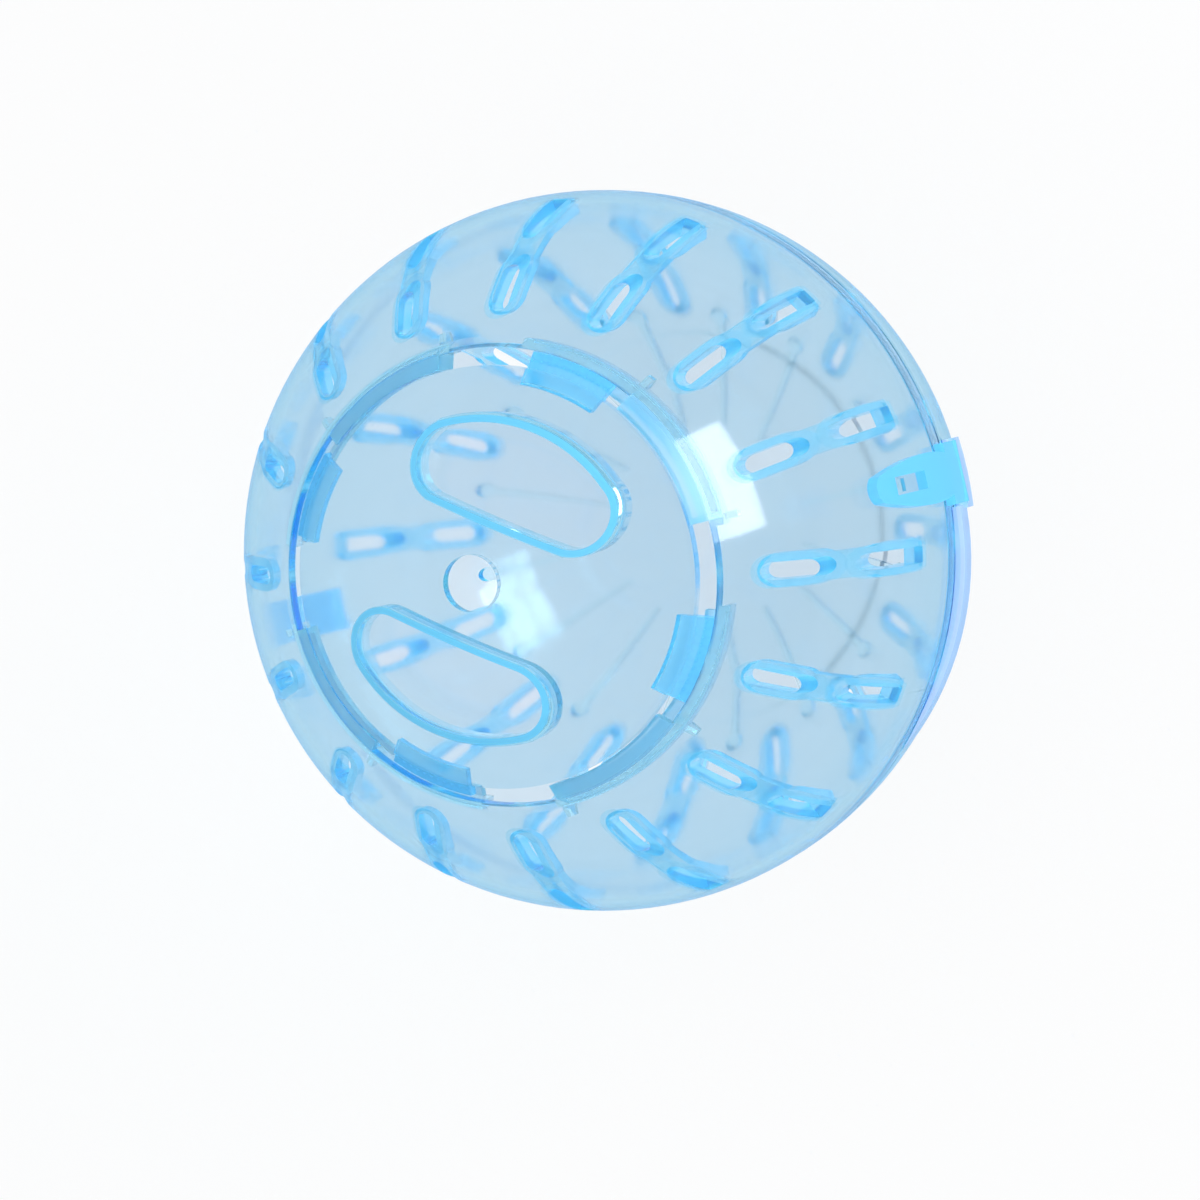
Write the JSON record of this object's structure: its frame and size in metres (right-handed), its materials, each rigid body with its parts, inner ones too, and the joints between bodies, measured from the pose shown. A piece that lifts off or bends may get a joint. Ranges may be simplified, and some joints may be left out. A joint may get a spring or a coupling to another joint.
{
  "type": "hamster ball",
  "caption": "Clear light blue plastic exercise ball for a small pet, with vents, a round lift-out door, a latch tongue and a hinge strap.",
  "frame": {"origin": "centre of the ball, on the plane where the two half shells meet", "axes": "+Z out through the middle of the round door, +X along the door's grip bar"},
  "size_m": [0.101, 0.1, 0.1023],
  "materials": {
    "clear_tint": "clear, tinted light blue, polished",
    "deep_tint": "clear, tinted sky blue, polished"
  },
  "bodies": {
    "ball": {"front_shell": "clear_tint", "back_shell": "clear_tint", "hinge_strap": "deep_tint"},
    "door": {"lid": "clear_tint"},
    "latch": {"latch_tongue": "deep_tint"}
  },
  "joints": [
    {"name": "lid_lift", "type": "slide", "parent": "ball", "child": "door", "axis": [0, 0, 1], "range_m": [0, 0.06]},
    {"name": "latch_flex", "type": "hinge", "parent": "ball", "child": "latch", "pos_m": [0.0424, 0.02833, -0.00125], "axis": [-0.5556, 0.8315, 0], "range_deg": [0, 20], "stiffness_Nm_per_rad": 0.005}
  ]
}
